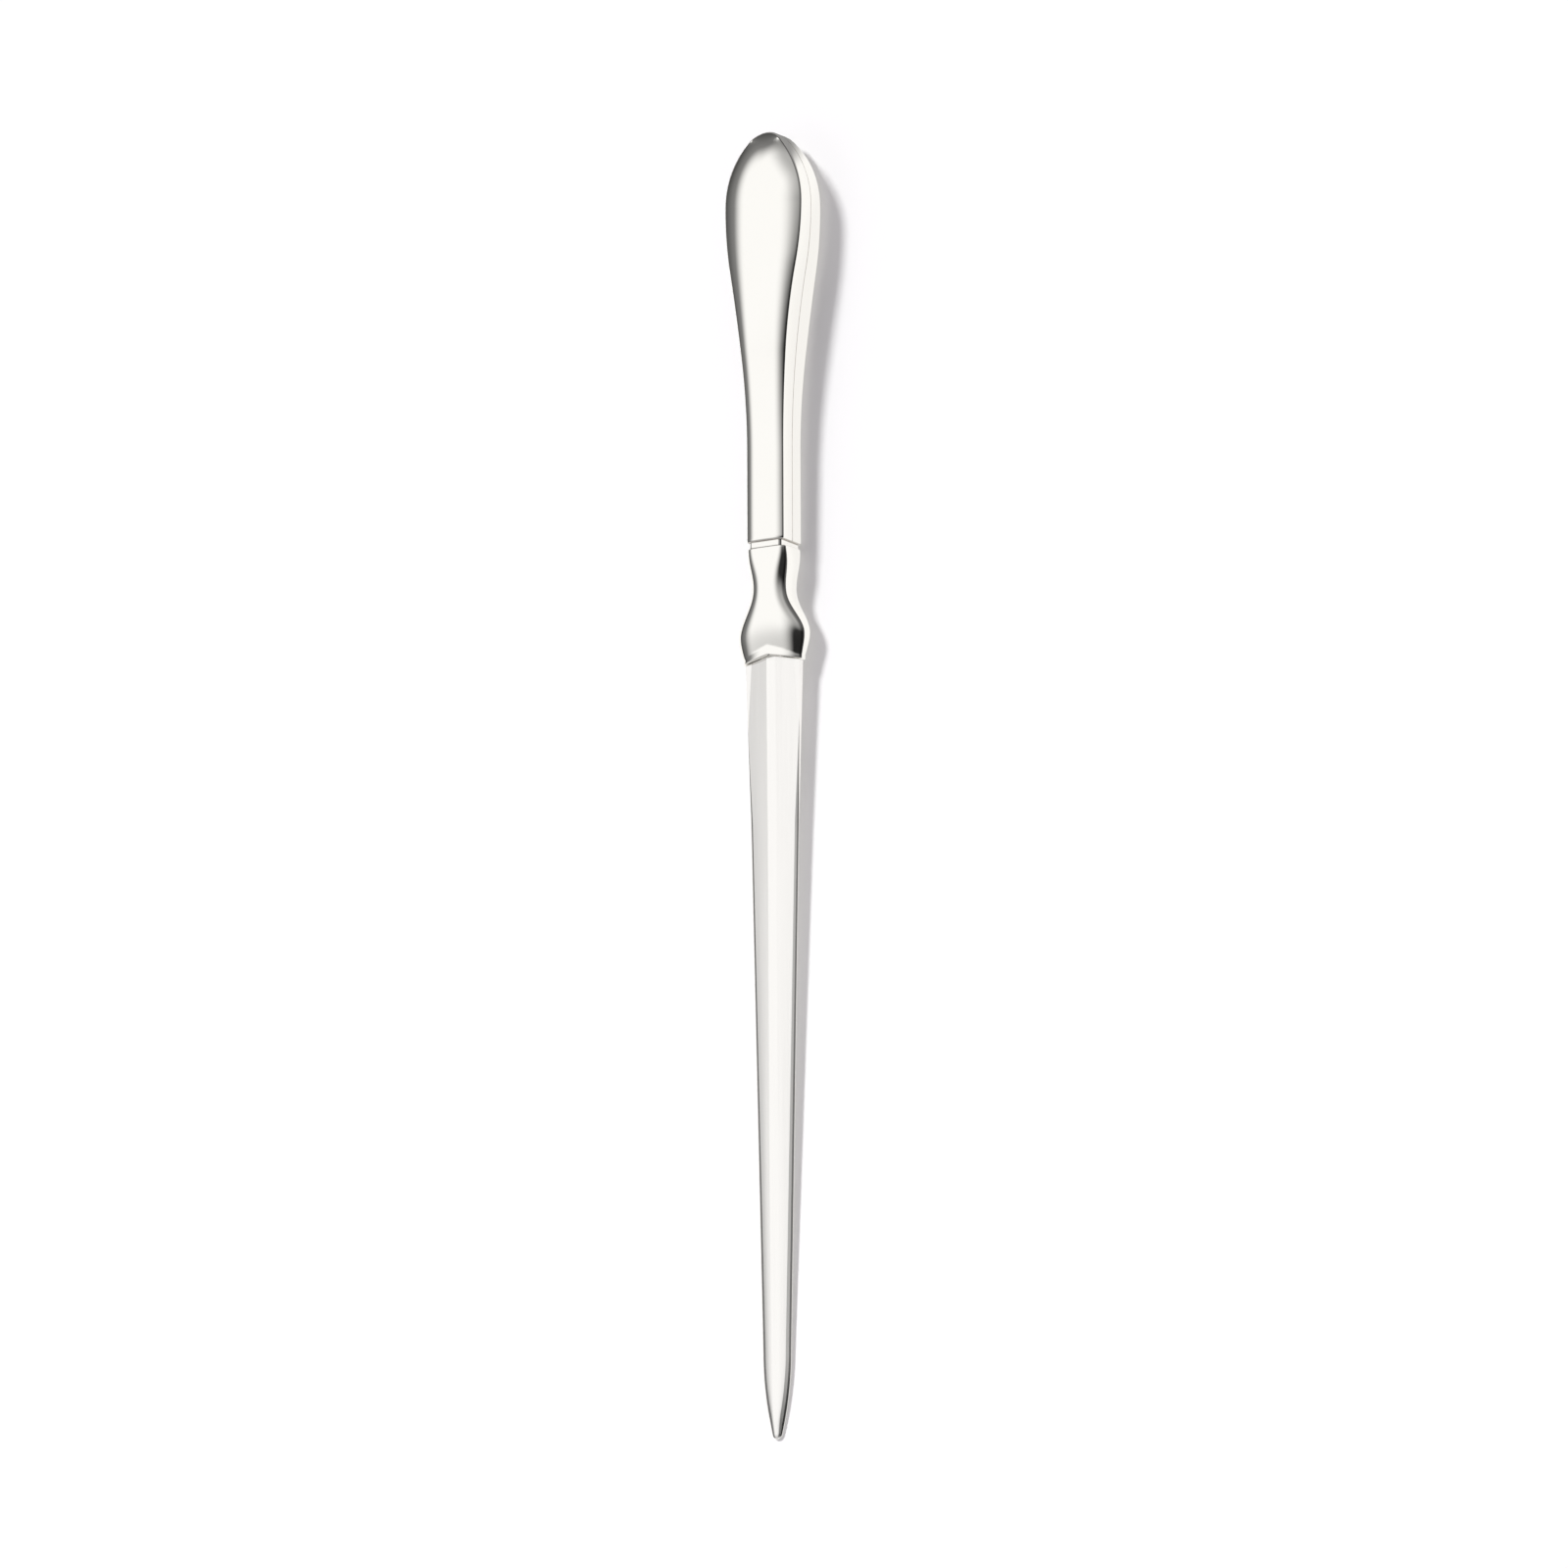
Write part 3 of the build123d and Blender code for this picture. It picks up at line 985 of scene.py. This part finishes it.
# Painted shade: the glow that the metal mirrors is dimmer beyond the handle's end.
painted_shade_mask = floor_nodes.clamp(floor_along, painted_shade_from, painted_shade_to)
glow_with_painted_shade = floor_nodes.mix(painted_shade_mask * (1 - painted_shade_level), floor_glow, no_glow)
glow = floor_nodes.node("Emission", None, {"Color": glow_with_painted_shade, "Strength": 1.0})
mixed = floor_nodes.node("MixShader", None, {0: seen_in_metal * glow_share,
                                             1: matt.outputs[0], 2: glow.outputs[0]})
floor_nodes.node("OutputMaterial", None, {"Surface": mixed.outputs[0]})
put_on(floor, floor_material)
floor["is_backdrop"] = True
print("table slopes by", round(floor_slope * 180 / pi, 2), "degrees")

# %% [markdown]
# The camera looks down from the opener's right and a little from its point. Its three axes are worked out
# from these two angles, and a long lens keeps the lines nearly parallel, as in a product photograph taken
# from far away. The frame is as wide as the lens sees at the camera's distance.

# %% Camera
view_roll = radians(31)
view_pitch = radians(13)
frame_turn = radians(0.229)
frame_width = 267.6 * mm
lens_length = 1500
sensor = 36
aim_right = 1.55 * mm
aim_up = 0.17 * mm

right = Vector((cos(view_roll), 0, -sin(view_roll)))
over = Vector((sin(view_roll), 0, cos(view_roll)))
toward = cos(view_pitch) * over - sin(view_pitch) * Vector((0, 1, 0))
up = sin(view_pitch) * over + cos(view_pitch) * Vector((0, 1, 0))
turned_right = cos(frame_turn) * right - sin(frame_turn) * up
turned_up = cos(frame_turn) * up + sin(frame_turn) * right
distance = frame_width * lens_length / sensor
aim = Vector((0, 0, seam_height)) + aim_right * right + aim_up * up

camera_data = bpy.data.cameras.new("camera")
camera_data.lens = lens_length
camera_data.sensor_width = sensor
camera = bpy.data.objects.new("camera", camera_data)
bpy.context.collection.objects.link(camera)
axes = Matrix((turned_right, turned_up, toward)).transposed().to_4x4()
camera.matrix_world = Matrix.Translation(aim + distance * toward) @ axes
bpy.context.scene.camera = camera
print("camera", round(distance, 2), "m away")

# %% [markdown]
# Polished metal shows the studio around it. A large white canopy hangs overhead and gets dimmer towards
# the opener's point. The room is dim low down, a little less so on the right and least of all towards the
# point, and the corner on the right beyond the handle's end is dim too. The camera with its stand is the
# dark shape on the right. Panels and a box could stand for all these, but the world can tell them apart by
# a ray's direction alone, so first the directions and the way to measure along them are set up.

# %% Studio directions
stand_turn = radians(-8)
stand_foot = Vector((cos(stand_turn), sin(stand_turn), 0))
across_camera = toward.cross(stand_foot).normalized()
above_camera = across_camera.cross(toward)
if above_camera.z < 0:
    above_camera = -above_camera
to_far_corner = Vector((0.5, 0.85, 0.2)).normalized()

world = bpy.data.worlds.new("studio")
bpy.context.scene.world = world
world.use_nodes = True
studio = Nodes(world.node_tree)
direction = studio.node("TexCoord").outputs["Generated"]


def share_along(axis):
    """How far a ray's direction points along an axis, from -1 to 1."""
    made = studio.node("VectorMath", {"operation": "DOT_PRODUCT"}, {0: direction, 1: axis})
    return studio.number(made, "Value")


print("the camera's stand is", round(stand_turn * 180 / pi), "degrees from +X")

# %% [markdown]
# For rays that left a polished surface, the world's brightness follows their direction: white, dimmed
# low down, towards the end of the canopy, at the camera and in the corner. Each of these has a soft edge
# between two limits. All other rays find plain soft light, and the camera itself sees plain white behind
# the table.

# %% Studio light
horizon_level = 0.05
horizon_rise = 0.4
right_glow = 0.12
front_glow = 0.7
canopy_end_level = 0.6
camera_level = 0.03
corner_level = 0.45
ambient_level = 0.58
canopy_tint = (1, 0.995, 0.985, 1)
room_tint = (1, 0.965, 1, 1)
canopy_edge = (0.4, 0.7)
canopy_end_edge = (-0.3, 0.15)
right_edge = (0.0, 0.6)
front_edge = (-0.6, -0.25)
camera_edge = (0.26, 0.74)
stand_edge = (0.0, 0.35)
corner_edge = (0.42, 0.8)

height = share_along(Vector((0, 0, 1)))
to_right = share_along(Vector((1, 0, 0)))
lengthwise = share_along(Vector((0, 1, 0)))
low_room = horizon_level + horizon_rise * height.maths("MAXIMUM", height, 0.0)
low_room = low_room + right_glow * studio.clamp(to_right, *right_edge)
low_room = low_room + front_glow * (1 - studio.clamp(lengthwise, *front_edge))
horizon = low_room + (1 - low_room) * studio.clamp(height, *canopy_edge)
canopy_end = canopy_end_level + (1 - canopy_end_level) * studio.clamp(lengthwise, *canopy_end_edge)
beside = share_along(across_camera)
above = share_along(above_camera)
above = above.maths("MAXIMUM", above, 0.0)
from_camera = above.maths("SQRT", beside * beside + above * above, 0.0)
camera_mask = (1 - studio.clamp(from_camera, *camera_edge)) * studio.clamp(height, *stand_edge)
camera_shape = 1 - (1 - camera_level) * camera_mask
to_corner = share_along(to_far_corner)
corner_shape = 1 - (1 - corner_level) * studio.clamp(to_corner, *corner_edge)
surround = horizon * canopy_end * camera_shape * corner_shape
world_rays = studio.node("LightPath")
plain_view = studio.number(world_rays, "Is Camera Ray")
in_metal = studio.number(world_rays, "Is Glossy Ray")
level = plain_view + in_metal * surround + (1 - plain_view - in_metal) * ambient_level
tint = studio.mix(in_metal, room_tint, canopy_tint)
background = studio.node("Background", None, {"Color": tint, "Strength": level})
studio.node("OutputWorld", None, {"Surface": background.outputs[0]})
print("studio surround ready")

# %% [markdown]
# One soft key light from high on the left and beyond the handle gives the narrow shadow along the opener's
# right side. A sun lamp with a wide angle is even over the whole length, and its angle sets how soft the
# shadow's edge is. The metal already mirrors the canopy, so the lamp is kept out of its reflections.

# %% Key light
from_key = Vector((-0.49, 0.66, 1)).normalized()
key_strength = 2.3
key_softness = radians(12.5)

key_data = bpy.data.lights.new("key", "SUN")
key_data.energy = key_strength
key_data.angle = key_softness
key = bpy.data.objects.new("key", key_data)
bpy.context.collection.objects.link(key)
key.visible_glossy = False
key.rotation_euler = from_key.to_track_quat("Z", "Y").to_euler()
bpy.context.scene.view_settings.view_transform = "Standard"
print("key light at", round(asin(from_key.z) * 180 / pi), "degrees")

# %% [markdown]
# Last, the sizes of the CAD model and of the dressed one are printed side by side.

# %% Measure
sizes = {"cad": [list(corner) for corner in cad_box], "visual": [list(corner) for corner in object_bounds()]}
for name, corners in sizes.items():
    print(name, [[round(value / mm, 3) for value in corner] for corner in corners])
